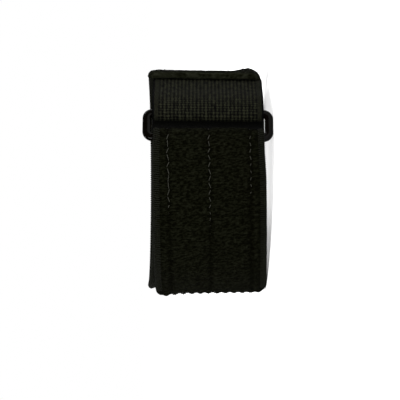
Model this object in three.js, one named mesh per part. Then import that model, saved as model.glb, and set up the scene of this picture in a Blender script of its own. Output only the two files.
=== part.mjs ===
// Tennis elbow support: a padded strap closed round the forearm, just below the elbow.
//
// The strap starts at its sewn end near the crest of the arm, runs over the crest, down the back, under
// the arm and up the front, passes through a moulded ring and folds back on itself, where a hook patch
// holds it. A webbing link ties the sewn end to the ring's other bar, and a label lies behind the ring.
//
// Millimetres, +Z up. The closed loop lies on its side, as it does on a table: the arm's axis is close to
// Z and the ring faces -Y and +X. The ring is wider than the strap, so the loop leans away from it.

import * as THREE from "three";

// Driving sizes
const forearm = { halfHeight: 47.6, halfDepth: 41, taper: 0.00035 };
const ring = {
  along: 45.6,
  rise: 3.5,
  holeLength: 51.4,
  holeHeight: 8.4,
  bar: 3.8,
  thickness: 2.8,
  outerRadius: 4.6,
  holeRadius: 1.2,
  bevel: 1.1,
};
const strap = {
  thickness: 2.8,
  foldThickness: 2.2,
  bodyHalf: 26.6,
  frontHalf: 25.3,
  foldHalf: 24.9,
  endHalf: 25.4,
  bodyCentre: 1.1,
  sewnEnd: 11.8,
};
const webbing = { thickness: 1.4, half: 25.2, centre: 0 };
const label = { thickness: 0.5, half: 24.6, centre: -0.1, start: 30.1, end: 47.9 };
const hookPatch = { thickness: 0.7, half: 22, centre: -1.2, start: 95, end: 124 };
const gap = 0.3;

// Quilting of the strap: three sewn rows and overlocked edges pull its two faces together
const quilt = { rows: [-18.5, 0, 18.5], rowReach: 1.5, rowShare: 0.76, edgeReach: 3, edgeShare: 0.5 };

// A soft ripple lifts the strap's lower edge at the crest
const ripple = { height: 2.2, along: -4, across: -19, reachAlong: 9, reachAcross: 5 };

// The strap's free end has rounded corners, and the upper one stands off a little
const freeEnd = { along: 128.2, cornerRadius: 6, lift: 1.3, liftReach: 14 };

const step = 5;
const foldSteps = 8;
const stacked = strap.thickness + gap;
const overPatch = stacked + hookPatch.thickness + gap;
const overWebbing = webbing.thickness + gap;
const overLabel = label.thickness + gap;
const outerBarReach = ring.holeHeight / 2 + ring.bar;
const foldCentre = ring.holeHeight / 2 + ring.thickness / 2;
const foldRadius = ring.thickness / 2 + gap;
const barTop = ring.rise + foldRadius + 0.7;
const fromRing = 8; // from the ring's middle to where the strips leave its bars

// The forearm's oval, seen along the arm, measured from its crest (+X) towards the front (-Y)
const oval = new THREE.EllipseCurve(0, 0, forearm.halfHeight, forearm.halfDepth, 0, 2 * Math.PI, true);
oval.arcLengthDivisions = 1200;
const girth = oval.getLength();

// The oval's point, direction and outward normal at a distance along it
function armAt(along) {
  const share = THREE.MathUtils.euclideanModulo(along / girth, 1);
  const tangent = oval.getTangentAt(share);
  return { point: oval.getPointAt(share), tangent, normal: new THREE.Vector2(-tangent.y, tangent.x) };
}

// A place above the forearm: how far along the oval, and how high over the skin
function above(along, height) {
  const { point, normal } = armAt(along);
  return point.addScaledVector(normal, height);
}

// The ring is flat: a place in its plane's own frame, towards the front and outwards
function atRing(towards, outwards) {
  const { point, tangent, normal } = armAt(ring.along);
  return point.addScaledVector(tangent, towards).addScaledVector(normal, outwards);
}

// Routes. Each row is one place on a strip: where it is along the arm, how high its face nearest the skin
// stands, how thick it is there, its half width and the middle of its width.
const body = { height: 0, thick: strap.thickness, half: strap.bodyHalf, centre: strap.bodyCentre };
const front = { ...body, half: strap.frontHalf, centre: -0.2 };
const pressed = { height: 0, thick: strap.foldThickness, half: strap.foldHalf, centre: -0.1 };
const end = { height: stacked, thick: strap.thickness, half: strap.endHalf };
const strapBody = [
  { ...body, along: strap.sewnEnd, height: overWebbing },
  { ...body, along: -2, height: overWebbing },
  { ...body, along: -14 },
  { ...body, along: 138 - girth },
  { ...front, along: 100 - girth },
  { ...front, along: 86 - girth },
  { ...pressed, along: ring.along + 2 * fromRing - girth },
  { ...pressed, along: ring.along + fromRing - girth },
];
const strapReturn = [
  { ...pressed, along: ring.along + fromRing, height: barTop, centre: -0.4 },
  { ...end, along: 71.3, centre: -0.8 },
  { ...end, along: 85, centre: -1 },
  { ...end, along: 93, height: overPatch, centre: -1.1 },
  { ...end, along: freeEnd.along, height: overPatch, centre: -1.5 },
];
const woven = { thick: webbing.thickness, half: webbing.half, centre: webbing.centre };
const webbingTail = [
  { ...woven, along: 29.1, height: overLabel },
  { ...woven, along: 39.6, height: overLabel },
];
const webbingLink = [
  { ...woven, along: ring.along - fromRing, height: barTop },
  { ...woven, along: 19.4, height: 0 },
  { ...woven, along: -2, height: 0 },
];

// The row of a route's table at a place between two of its rows, eased from one to the next
function rowAt(table, along) {
  const forwards = Math.sign(table.at(-1).along - table[0].along);
  let i = 0;
  while (i < table.length - 2 && (along - table[i + 1].along) * forwards > 0) i += 1;
  const [from, to] = [table[i], table[i + 1]];
  const share = THREE.MathUtils.smoothstep((along - from.along) / (to.along - from.along), 0, 1);
  const mixed = { along };
  for (const column of ["height", "thick", "half", "centre"]) {
    mixed[column] = THREE.MathUtils.lerp(from[column], to[column], share);
  }
  return mixed;
}

// Places spread evenly along a route, with its first and last rows and any others asked for
function placesOn(table, extra = []) {
  const [first, last] = [table[0].along, table.at(-1).along];
  const count = Math.max(2, Math.round(Math.abs(last - first) / step));
  const places = extra.filter((along) => (along - first) * (along - last) < 0);
  for (let i = 0; i <= count; i += 1) places.push(THREE.MathUtils.lerp(first, last, i / count));
  return places.sort((a, b) => (a - b) * Math.sign(last - first));
}

// A station of a strip: the two faces' points, skin side first, with the width and its middle there
function stationOn(row, flipped = false) {
  const low = above(row.along, row.height);
  const high = above(row.along, row.height + row.thick);
  return { ...row, skin: flipped ? high : low, back: flipped ? low : high };
}

// Stations round one bar of the ring, from the skin side through the hole to the outside
function foldStations(side, thick, half, centres) {
  const stations = [];
  for (let i = 0; i <= foldSteps; i += 1) {
    const angle = (Math.PI * i) / foldSteps;
    const across = side * (foldCentre - foldRadius * Math.sin(angle));
    const acrossFar = side * (foldCentre - (foldRadius + thick) * Math.sin(angle));
    const back = atRing(across, ring.rise - foldRadius * Math.cos(angle));
    const skin = atRing(acrossFar, ring.rise - (foldRadius + thick) * Math.cos(angle));
    const centre = THREE.MathUtils.lerp(centres[0], centres[1], i / foldSteps);
    stations.push({ skin, back, half, centre });
  }
  return stations;
}

// The narrowing taper of the forearm widens every piece upwards and narrows it downwards
function tapered(point, z) {
  const scale = 1 + forearm.taper * z;
  return new THREE.Vector3(point.x * scale, point.y * scale, z);
}

// A closed solid through a row of closed sections, each a list of the same number of points
function solidThrough(sections) {
  const count = sections[0].length;
  const index = [];
  for (let i = 0; i < sections.length - 1; i += 1) {
    for (let j = 0; j < count; j += 1) {
      const [a, b] = [i * count + j, i * count + ((j + 1) % count)];
      index.push(a, b, a + count, b, b + count, a + count);
    }
  }
  const last = (sections.length - 1) * count;
  for (let j = 0; j < count / 2 - 1; j += 1) {
    const [a, b, c, d] = [j, j + 1, count - 2 - j, count - 1 - j];
    index.push(a, d, b, b, d, c);
    index.push(last + a, last + b, last + d, last + b, last + c, last + d);
  }
  const geometry = new THREE.BufferGeometry().setFromPoints(sections.flat());
  return geometry.setIndex(index);
}

// A plain strip has a flat section with two corners a side
function plainSection({ skin, back, half, centre }) {
  const [low, high] = [centre - half, centre + half];
  return [tapered(skin, low), tapered(skin, high), tapered(back, high), tapered(back, low)];
}

// The share of the strap's thickness that is left at a distance across it, and from its nearest end
function quiltShare(across, half, fromEnd) {
  const easing = (distance, reach, least) =>
    THREE.MathUtils.lerp(least, 1, THREE.MathUtils.smoothstep(distance, 0, reach));
  const edge = easing(Math.min(half - Math.abs(across), fromEnd), quilt.edgeReach, quilt.edgeShare);
  const rows = quilt.rows.map((row) => easing(Math.abs(across - row), quilt.rowReach, quilt.rowShare));
  return Math.min(edge, ...rows);
}

// How far the strap stands off at the ripple on the crest, and at the free end's upper corner
function standOff({ along = girth / 4, isReturn }, z) {
  if (isReturn) {
    const fromCorner = Math.hypot(freeEnd.along - along, strap.endHalf - z);
    return freeEnd.lift * (1 - THREE.MathUtils.smoothstep(fromCorner, 0, freeEnd.liftReach));
  }
  const shareAlong = (along - ripple.along) / ripple.reachAlong;
  const shareAcross = (z - ripple.across) / ripple.reachAcross;
  return ripple.height * Math.exp(-(shareAlong ** 2) - shareAcross ** 2);
}

// A section of the strap, quilted on both faces
function quiltedSection(station) {
  const { skin, back, half, centre, fromEnd = Infinity } = station;
  const places = [-half, -half + quilt.edgeReach];
  for (const row of quilt.rows) places.push(row - quilt.rowReach, row, row + quilt.rowReach);
  places.push(half - quilt.edgeReach, half);
  const middle = skin.clone().lerp(back, 0.5);
  const outwards = back.clone().sub(skin).normalize();
  if (station.isReturn) outwards.negate();
  const face = (point) => (place) => {
    const across = THREE.MathUtils.clamp(place, -half, half);
    const z = centre + across;
    const share = quiltShare(across, half, fromEnd);
    const moved = middle.clone().lerp(point, share).addScaledVector(outwards, standOff(station, z));
    return tapered(moved, z);
  };
  return [...places.map(face(skin)), ...places.reverse().map(face(back))];
}

function strapGeometry() {
  const nearRipple = [ripple.along - 4, ripple.along + 4];
  const body = placesOn(strapBody, [strap.sewnEnd - quilt.edgeReach, ...nearRipple]).map((along) => ({
    ...stationOn(rowAt(strapBody, along)),
    fromEnd: strap.sewnEnd - along,
  }));
  const centres = [strapBody.at(-1).centre, strapReturn[0].centre];
  const fold = foldStations(1, strap.foldThickness, strap.foldHalf, centres);
  const nearEnd = [0.1, 0.35, 1].map((share) => freeEnd.along - share * freeEnd.cornerRadius);
  const back = placesOn(strapReturn, nearEnd).map((along) => {
    const fromEnd = freeEnd.along - along;
    const station = { ...stationOn(rowAt(strapReturn, along), true), fromEnd, isReturn: true };
    const inCorner = Math.max(0, freeEnd.cornerRadius - fromEnd);
    const cut = freeEnd.cornerRadius - Math.sqrt(freeEnd.cornerRadius ** 2 - inCorner ** 2);
    return { ...station, half: station.half - cut };
  });
  return solidThrough([...body, ...fold, ...back].map(quiltedSection));
}

function webbingGeometry() {
  const tail = placesOn(webbingTail).map((along) => stationOn(rowAt(webbingTail, along)));
  const centres = [webbing.centre, webbing.centre];
  const fold = foldStations(-1, webbing.thickness, webbing.half, centres);
  const bends = [0.2, 0.4, 0.6, 0.8].map((share) =>
    THREE.MathUtils.lerp(webbingLink[0].along, webbingLink[1].along, share),
  );
  const link = placesOn(webbingLink, bends).map((along) => stationOn(rowAt(webbingLink, along), true));
  return solidThrough([...tail, ...fold, ...link].map(plainSection).map((section) => section.reverse()));
}

// A flat piece that lies along the arm between two places, at one height
function layerGeometry({ start, end, thickness, half }, height, centre) {
  const row = { height, thick: thickness, half, centre };
  const route = [{ ...row, along: start }, { ...row, along: end }];
  return solidThrough(placesOn(route).map((along) => plainSection(stationOn({ ...row, along }))).reverse());
}

function roundedRectangle(path, width, height, radius) {
  const [x, y] = [width / 2, height / 2];
  path.moveTo(-x + radius, -y).lineTo(x - radius, -y);
  path.absarc(x - radius, -y + radius, radius, -Math.PI / 2, 0);
  path.absarc(x - radius, y - radius, radius, 0, Math.PI / 2);
  path.absarc(-x + radius, y - radius, radius, Math.PI / 2, Math.PI);
  path.absarc(-x + radius, -y + radius, radius, Math.PI, 1.5 * Math.PI);
  return path;
}

// The moulded ring, with its edges rounded off, drawn flat with its length along X
function ringGeometry() {
  const length = ring.holeLength + 2 * ring.bar;
  const outline = roundedRectangle(new THREE.Shape(), length, 2 * outerBarReach, ring.outerRadius);
  outline.holes.push(roundedRectangle(new THREE.Path(), ring.holeLength, ring.holeHeight, ring.holeRadius));
  const geometry = new THREE.ExtrudeGeometry(outline, {
    depth: ring.thickness - 2 * ring.bevel,
    bevelThickness: ring.bevel,
    bevelSize: ring.bevel,
    bevelOffset: -ring.bevel,
    bevelSegments: 3,
    curveSegments: 6,
  });
  return geometry.translate(0, 0, ring.bevel - ring.thickness / 2);
}

function ringPlace() {
  const { tangent } = armAt(ring.along);
  const centre = atRing(0, ring.rise);
  const long = tapered(centre, 1).sub(tapered(centre, 0)).normalize();
  const out = long.clone().cross(new THREE.Vector3(tangent.x, tangent.y, 0)).normalize();
  const down = out.clone().cross(long);
  return new THREE.Matrix4().makeBasis(long, down, out).setPosition(centre.x, centre.y, 0);
}

// Materials
const blackFleece = new THREE.MeshStandardMaterial({ color: "#16161a", roughness: 1, metalness: 0 });
const blackNylon = new THREE.MeshStandardMaterial({ color: "#1f201e", roughness: 0.75, metalness: 0 });
const glossBlack = new THREE.MeshStandardMaterial({ color: "#0c0c0d", roughness: 0.22, metalness: 0 });
const blackSatin = new THREE.MeshStandardMaterial({ color: "#15161a", roughness: 0.5, metalness: 0 });
const hookNylon = new THREE.MeshStandardMaterial({ color: "#1b1b1b", roughness: 0.6, metalness: 0 });

function piece(name, geometry, material) {
  const mesh = new THREE.Mesh(geometry, material);
  mesh.name = name;
  return mesh;
}

const ringPiece = piece("ring", ringGeometry(), glossBlack);
ringPiece.applyMatrix4(ringPlace());

const loop = new THREE.Group();
loop.add(
  piece("strap", strapGeometry(), blackFleece),
  piece("webbing_link", webbingGeometry(), blackNylon),
  ringPiece,
  piece("label", layerGeometry(label, 0, label.centre), blackSatin),
  piece("hook_patch", layerGeometry(hookPatch, stacked, hookPatch.centre), hookNylon),
);

// At rest the ring's end and the strap's far edge touch the table, so the loop leans by a small angle
const overhang = ring.holeLength / 2 + ring.bar - (strap.bodyHalf - strap.bodyCentre);
const ringSide = atRing(0, ring.rise);
const farSide = above(ring.along + girth / 2, strap.thickness);
const lean = Math.atan(overhang / ringSide.distanceTo(farSide));
const towardsRing = new THREE.Vector3(ringSide.x, ringSide.y, 0).normalize();
loop.quaternion.setFromAxisAngle(towardsRing.cross(new THREE.Vector3(0, 0, 1)), lean);

// The origin is on the table, under the middle of the whole piece
const extent = new THREE.Box3().setFromObject(loop, true);
const middle = extent.getCenter(new THREE.Vector3());
loop.position.set(-middle.x, -middle.y, -extent.min.z);

const support = new THREE.Group();
support.add(loop);

export default support;
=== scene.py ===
"""Tennis elbow support: a padded strap round an oval opening, with its ring, webbing, label and sewing.

It lies on its side in a white studio, with the opening's axis nearly upright. Sizes are in metres.
"""

import math
from collections import namedtuple

import bmesh
import bpy
import numpy as np
from bpy.props import FloatProperty, FloatVectorProperty, PointerProperty
from bpy.types import Operator, Panel, PropertyGroup
from mathutils import Matrix, Vector, noise


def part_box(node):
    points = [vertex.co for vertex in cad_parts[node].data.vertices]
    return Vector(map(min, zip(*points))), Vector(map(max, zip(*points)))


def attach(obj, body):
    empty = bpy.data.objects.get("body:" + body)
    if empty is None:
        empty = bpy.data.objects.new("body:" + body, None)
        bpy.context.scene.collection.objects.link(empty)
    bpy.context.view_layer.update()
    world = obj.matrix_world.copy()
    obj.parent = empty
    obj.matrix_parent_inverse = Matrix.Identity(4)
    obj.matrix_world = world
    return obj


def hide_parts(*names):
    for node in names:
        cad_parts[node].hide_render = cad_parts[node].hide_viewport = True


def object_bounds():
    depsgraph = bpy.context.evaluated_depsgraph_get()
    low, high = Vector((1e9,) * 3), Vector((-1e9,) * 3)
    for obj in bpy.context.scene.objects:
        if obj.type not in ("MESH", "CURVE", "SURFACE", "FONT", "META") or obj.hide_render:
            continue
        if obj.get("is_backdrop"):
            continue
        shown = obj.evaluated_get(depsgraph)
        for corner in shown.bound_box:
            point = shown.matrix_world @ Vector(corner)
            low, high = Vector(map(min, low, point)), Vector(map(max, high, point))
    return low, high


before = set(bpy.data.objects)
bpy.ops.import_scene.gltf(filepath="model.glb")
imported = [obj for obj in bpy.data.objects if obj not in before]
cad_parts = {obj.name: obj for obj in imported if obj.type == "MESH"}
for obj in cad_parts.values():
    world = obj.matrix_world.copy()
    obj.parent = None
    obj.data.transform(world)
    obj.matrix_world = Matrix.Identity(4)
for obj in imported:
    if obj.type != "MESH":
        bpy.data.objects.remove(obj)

bl_info = {
    "name": "Tennis Elbow Support",
    "version": (1, 0, 0),
    "blender": (4, 5, 0),
    "location": "View3D > Sidebar > Support",
    "description": "Models a padded elbow strap with its ring, webbing, label and sewing",
    "category": "Add Mesh",
}

MM = 0.001
CAD_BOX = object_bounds()

GAP = 0.3 * MM  # between two pieces that are sewn or hooked together
SLACK = 0.7 * MM  # how far a strip still stands off a bar of the ring where it leaves it
FROM_RING = 8 * MM  # from the ring's middle to where the strips leave its bars
OVAL_STEPS = 7200
ROUTE_STEP = 0.25 * MM
FOLD_STEPS = 60

# A face's length along a strip and its width across it
PILE_CELL = (0.4 * MM, 0.95 * MM)
WEAVE_CELL = (0.3 * MM, 0.3 * MM)
LABEL_CELL = (0.6 * MM, 0.6 * MM)
HOOK_CELL = (2 * MM, 2 * MM)


# Sizes and colours that a user would change

def linear(code):
    """The linear colour, with full alpha, of an sRGB hex code."""
    shares = [int(code[i:i + 2], 16) / 255 for i in (1, 3, 5)]
    return [c / 12.92 if c <= 0.04045 else ((c + 0.055) / 1.055) ** 2.4 for c in shares] + [1.0]


def length(name, millimetres, description):
    return FloatProperty(
        name=name, description=description, default=millimetres * MM, unit="LENGTH", precision=5
    )


def fraction(name, default, description):
    return FloatProperty(name=name, description=description, default=default, subtype="FACTOR")


def colour(name, code, description):
    return FloatVectorProperty(
        name=name, description=description, default=linear(code), size=4, min=0, max=1, subtype="COLOR"
    )


class OpeningSizes(PropertyGroup):
    half_height: length("Half height", 47.6, "From the opening's axis to its crest")
    half_depth: length("Half depth", 41, "From the opening's axis to its front")
    taper: FloatProperty(
        name="Taper", description="Share that the opening widens for each metre upwards", default=0.35
    )


class StrapSizes(PropertyGroup):
    thickness: length("Thickness", 2.8, "Foam and both faces")
    fold_thickness: length("Fold thickness", 2.2, "Where the strap is pressed round the ring")
    body_half: length("Body half width", 26.6, "Half the width round the back")
    body_centre: length("Body middle", 1.1, "Middle of the width round the back")
    sewn_half: length("Sewn half width", 26.1, "Half the width over the crest, next to the sewn end")
    front_half: length("Front half width", 25.3, "Half the width under the part that is folded back")
    fold_half: length("Fold half width", 24.9, "Half the width through the ring")
    end_half: length("End half width", 25.4, "Half the width of the part that is folded back")
    sewn_end: length("Sewn end", 11.8, "Place of the sewn end, from the crest")
    free_end: length("Free end", 128.2, "Place of the free end, from the crest")
    corner: length("Corner radius", 6, "Radius of the free end's corners")
    sewn_corner: length("Sewn corner radius", 4.5, "Radius of the sewn end's corners")
    corner_lift: length("Corner lift", 1.4, "How far the free end's upper corner stands off")
    end_lift: length("End lift", 0.5, "How far the whole free end stands off")
    ripple: length("Ripple", 1.8, "Height of the ripple in the lower edge at the crest")
    droop: length("Droop", 1.8, "How far the lower edge bends in at the crest; the upper one does by half")
    rib_pitch: length("Rib pitch", 1.2, "Distance between the brushed ribs of the pile")
    rib_depth: length("Rib depth", 0.3, "Depth between the brushed ribs of the pile")


class SewingSizes(PropertyGroup):
    row_spacing: length("Row spacing", 18.5, "Distance between the rows that quilt the strap")
    row_reach: length("Row reach", 2, "Distance over which a row draws the faces together")
    row_share: fraction("Row share", 0.64, "Share of the thickness left at a row")
    edge_reach: length("Edge reach", 3, "Width of the overlocked edge")
    edge_share: fraction("Edge share", 0.42, "Share of the thickness left at the edge")
    stitch: length("Stitch", 3.1, "Length of one stitch in a row")
    zigzag: length("Zigzag", 0.58, "Sideways reach of a row's stitches")
    thread: length("Thread", 0.39, "Diameter of the thread in the rows")
    overlock_pitch: length("Overlock pitch", 0.95, "Distance between two overlock stitches")
    overlock_thread: length("Overlock thread", 0.48, "Diameter of the overlock thread")


class RingSizes(PropertyGroup):
    along: length("Place", 45.6, "Place of the ring's middle, from the crest")
    rise: length("Rise", 3.5, "Height of the ring's middle plane over the opening")
    hole_length: length("Hole length", 51.4, "Length of the hole")
    hole_height: length("Hole height", 8.4, "Height of the hole")
    bar: length("Bar", 3.8, "Width of a bar")
    thickness: length("Thickness", 2.8, "Thickness of the ring")
    corner: length("Corner radius", 4.6, "Radius of the outer corners")
    rounding: length("Rounding", 1.25, "Rounding of the bars' edges")


class WebbingSizes(PropertyGroup):
    thickness: length("Thickness", 1.4, "Thickness of the webbing")
    half: length("Half width", 25.2, "Half the width of the webbing")
    centre: length("Middle", 0, "Middle of the width")
    warp_pitch: length("Warp pitch", 1.7, "Distance between two warp cords")
    weft_pitch: length("Weft pitch", 1.27, "Distance between two weft threads")
    selvedge: length("Selvedge", 2.6, "Width of the flatter weave at each edge")
    weave_depth: length("Weave depth", 0.28, "Depth of the weave's relief")


class LayerSizes(PropertyGroup):
    label_thickness: length("Label thickness", 0.5, "Thickness of the label")
    label_half: length("Label half width", 25.4, "Half the width of the label")
    label_start: length("Label start", 30.1, "Place of the label's hidden end, from the crest")
    label_end: length("Label end", 48.9, "Place of the label's shown end, from the crest")
    hook_thickness: length("Hook sheet thickness", 0.7, "Thickness of the hook sheet")
    hook_half: length("Hook sheet half width", 22, "Half the width of the hook sheet")
    hook_start: length("Hook sheet start", 95, "Place of the hook sheet's upper end, from the crest")
    hook_end: length("Hook sheet end", 124, "Place of the hook sheet's lower end, from the crest")
    hook_pitch: length("Hook pitch", 2.2, "Distance between two hooks")
    hook_height: length("Hook height", 0.42, "Height of a hook over its sheet")


class SupportColours(PropertyGroup):
    # painted shade and light: the pile is darker between its tufts and in the sewn grooves and lighter on
    # its tips, following the relief, with random tone from the nap
    pile_shaded_deep: colour("Pile, deep", "#020200", "Black pile between its tufts")
    pile_lit_tips: colour("Pile, tips", "#0d0e07", "Tips of the pile, greyed by use")
    # painted light: this lighter tone stands in for light falling on the crest by the sewn end, and for
    # highlights on the highest tufts
    pile_lit_colour: colour("Pile, backing", "#191a13", "Knit under the pile, where the sewn end stretches it")
    # painted light and shade: the webbing is lighter on the cords' crowns, for their lustre, and darker in
    # the gaps between them, for shade
    cord_shaded_gap: colour("Webbing, deep", "#020202", "Nylon between the cords")
    cord_lit_crown: colour("Webbing, tips", "#1d1e15", "Crowns of the nylon cords")
    ring: colour("Ring", "#030201", "Moulded ring")
    thread_light: colour("Row thread", "#2f2f29", "Grey thread of the rows")
    thread_dark: colour("Overlock thread", "#11120c", "Black thread of the edges")
    label: colour("Label", "#040403", "Satin label")
    hooks: colour("Hooks", "#1a1a1a", "Moulded hook sheet")
    floor: colour("Floor", "#ffffff", "Studio floor")


class SupportSettings(PropertyGroup):
    opening: PointerProperty(type=OpeningSizes)
    strap: PointerProperty(type=StrapSizes)
    sewing: PointerProperty(type=SewingSizes)
    ring: PointerProperty(type=RingSizes)
    webbing: PointerProperty(type=WebbingSizes)
    layers: PointerProperty(type=LayerSizes)
    colours: PointerProperty(type=SupportColours)


# The loop: where every strip runs round the opening

Row = namedtuple("Row", "along height thick half centre")


def smooth(distance, reach):
    """0 at no distance and 1 from reach on, eased at both ends."""
    part = np.clip(distance / reach, 0, 1)
    return part * part * (3 - 2 * part)


def noise_at(spots):
    """Smooth noise between -1 and 1 at each spot."""
    return np.array([noise.noise(spot) for spot in spots])


class Strip:
    """A strip's route, as columns of values at each distance along its middle.

    along is the place round the opening, and lining and cover are the strip's two faces. outside is 1 where
    the cover is the outer face and -1 where the strip is folded back. half is half the width, and centre is
    the middle of the width.
    """

    def __init__(self, *parts):
        self.columns = {name: np.concatenate([part[name] for part in parts]) for name in parts[0]}
        middle = (self.columns["lining"] + self.columns["cover"]) / 2
        steps = np.hypot(*np.diff(middle, axis=0).T)
        self.reach = np.concatenate([[0], np.cumsum(steps)])
        self.length = self.reach[-1]

    def at(self, reach, name):
        column = self.columns[name]
        if column.ndim == 1:
            return np.interp(reach, self.reach, column)
        return np.stack([np.interp(reach, self.reach, values) for values in column.T], axis=-1)

    def faces(self, reach):
        return self.at(reach, "lining"), self.at(reach, "cover")


class Loop:
    """The opening's oval, measured from its crest (+X) towards its front (-Y), and the strips round it."""

    def __init__(self, support):
        self.support = support
        opening = support.opening
        self.turns = np.linspace(0, 2 * np.pi, OVAL_STEPS + 1)
        oval = np.stack([
            opening.half_height * np.cos(self.turns), -opening.half_depth * np.sin(self.turns)
        ], axis=-1)
        self.run = np.concatenate([[0], np.cumsum(np.hypot(*np.diff(oval, axis=0).T))])
        self.girth = self.run[-1]
        self.place = self.leaning()

    def at(self, along):
        """The oval's points, directions and outward normals."""
        opening = self.support.opening
        turn = np.interp(np.mod(along, self.girth), self.run, self.turns)
        cos, sin = np.cos(turn), np.sin(turn)
        points = np.stack([opening.half_height * cos, -opening.half_depth * sin], axis=-1)
        ahead = np.stack([-opening.half_height * sin, -opening.half_depth * cos], axis=-1)
        ahead = ahead / np.linalg.norm(ahead, axis=-1, keepdims=True)
        return points, ahead, np.stack([-ahead[..., 1], ahead[..., 0]], axis=-1)

    def above(self, along, height):
        points, _, normals = self.at(np.asarray(along))
        return points + normals * np.asarray(height)[..., None]

    def at_ring(self, towards, outwards):
        """Places in the flat ring's own frame: towards the front, and outwards."""
        point, ahead, normal = self.at(np.asarray(self.support.ring.along))
        return point + np.asarray(towards)[..., None] * ahead + np.asarray(outwards)[..., None] * normal

    def run_along(self, rows, flipped=False):
        """The part of a route that follows the oval, eased from each row of its table to the next."""
        count = int(abs(rows[-1].along - rows[0].along) / ROUTE_STEP) + 2
        along = np.linspace(rows[0].along, rows[-1].along, count)
        values = {}
        for name in Row._fields[1:]:
            values[name] = np.full(count, float(getattr(rows[0], name)))
            for one, two in zip(rows, rows[1:]):
                eased = smooth(along - one.along, two.along - one.along)
                values[name] += (getattr(two, name) - getattr(one, name)) * eased
        low = self.above(along, values["height"])
        high = self.above(along, values["height"] + values["thick"])
        lining, cover = (high, low) if flipped else (low, high)
        outside = np.full(count, -1.0 if flipped else 1.0)
        return {"along": along, "lining": lining, "cover": cover, "outside": outside,
                "half": values["half"], "centre": values["centre"]}

    def fold(self, side, thick, half, centres):
        """The part of a route round one bar of the ring, from behind it through the hole to its front."""
        ring = self.support.ring
        angle = np.linspace(0, np.pi, FOLD_STEPS + 2)[1:-1]
        centre, near = ring.hole_height / 2 + ring.thickness / 2, ring.thickness / 2 + GAP
        far = near + thick
        cover = self.at_ring(side * (centre - near * np.sin(angle)), ring.rise - near * np.cos(angle))
        lining = self.at_ring(side * (centre - far * np.sin(angle)), ring.rise - far * np.cos(angle))
        return {"along": np.full(FOLD_STEPS, ring.along), "lining": lining, "cover": cover,
                "outside": np.cos(angle), "half": np.full(FOLD_STEPS, half),
                "centre": np.linspace(*centres, FOLD_STEPS)}

    def bar_top(self):
        """The height over the opening at which a strip lies on a bar of the ring."""
        ring = self.support.ring
        return ring.rise + ring.thickness / 2 + GAP + SLACK

    def strap(self):
        strap, layers = self.support.strap, self.support.layers
        ring_along, girth = self.support.ring.along, self.girth
        over_webbing = self.support.webbing.thickness + GAP
        stacked = strap.thickness + GAP
        over_hooks = stacked + layers.hook_thickness + GAP
        body = Row(0, 0, strap.thickness, strap.body_half, strap.body_centre)
        into_ring, out_of_ring = -0.1 * MM, -0.4 * MM  # the strap's middle on either side of the ring
        front = body._replace(half=strap.front_half, centre=-0.2 * MM)
        pressed = Row(0, 0, strap.fold_thickness, strap.fold_half, into_ring)
        end = Row(0, stacked, strap.thickness, strap.end_half, -0.8 * MM)
        sewn = body._replace(height=over_webbing, half=strap.sewn_half, centre=1.6 * MM)
        down = self.run_along([
            sewn._replace(along=strap.sewn_end),
            sewn._replace(along=-2 * MM),
            body._replace(along=-14 * MM),  # past the webbing's end
            body._replace(along=138 * MM - girth),  # past the free end
            front._replace(along=100 * MM - girth),
            front._replace(along=86 * MM - girth),
            pressed._replace(along=ring_along + 2 * FROM_RING - girth),
            pressed._replace(along=ring_along + FROM_RING - girth),
        ])
        round_bar = self.fold(1, pressed.thick, pressed.half, (into_ring, out_of_ring))
        back = self.run_along([
            pressed._replace(along=ring_along + FROM_RING, height=self.bar_top(), centre=out_of_ring),
            end._replace(along=71.3 * MM),
            end._replace(along=85 * MM, centre=-1 * MM),
            end._replace(along=93 * MM, height=over_hooks, centre=-1.1 * MM),
            end._replace(along=strap.free_end, height=over_hooks, centre=-1.5 * MM),
        ], flipped=True)
        return Strip(down, round_bar, back)

    def webbing(self):
        webbing = self.support.webbing
        woven = Row(0, 0, webbing.thickness, webbing.half, webbing.centre)
        over_label = self.support.layers.label_thickness + GAP
        tail = self.run_along([
            woven._replace(along=29.1 * MM, height=over_label),
            woven._replace(along=39.6 * MM, height=over_label),
        ])
        round_bar = self.fold(-1, woven.thick, woven.half, (woven.centre, woven.centre))
        link = self.run_along([
            woven._replace(along=self.support.ring.along - FROM_RING, height=self.bar_top()),
            woven._replace(along=19.4 * MM),
            woven._replace(along=-2 * MM),
        ], flipped=True)
        return Strip(tail, round_bar, link)

    def label(self):
        layers = self.support.layers
        row = Row(layers.label_start, 0, layers.label_thickness, layers.label_half, -0.1 * MM)
        return Strip(self.run_along([row, row._replace(along=layers.label_end)]))

    def hook_sheet(self):
        layers = self.support.layers
        height = self.support.strap.thickness + GAP
        row = Row(layers.hook_start, height, layers.hook_thickness, layers.hook_half, -1.2 * MM)
        return Strip(self.run_along([row, row._replace(along=layers.hook_end)]))

    def leaning(self):
        """The loop's place on the table, where it leans on the ring's end and the strap's far edge."""
        ring, strap = self.support.ring, self.support.strap
        overhang = ring.hole_length / 2 + ring.bar - (strap.body_half - strap.body_centre)
        ring_side = self.at_ring(0, ring.rise)
        far_side = self.above(ring.along + self.girth / 2, strap.thickness)
        lean = math.atan(overhang / np.linalg.norm(ring_side - far_side))
        centre = Vector((*ring_side, 0))
        turn = Matrix.Rotation(lean, 4, centre.normalized().cross(Vector((0, 0, 1))))
        low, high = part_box("ring")
        return Matrix.Translation((Vector(low) + Vector(high)) / 2 - turn @ centre) @ turn

    def to_frame(self, flat, z):
        """Places beside the opening's axis, widened by its taper and set down on the table."""
        wide = flat * (1 + self.support.opening.taper * z)[..., None]
        local = np.concatenate([wide, z[..., None]], axis=-1)
        turn = np.array(self.place.to_3x3())
        return local @ turn.T + np.array(self.place.translation)


# Meshes

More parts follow.
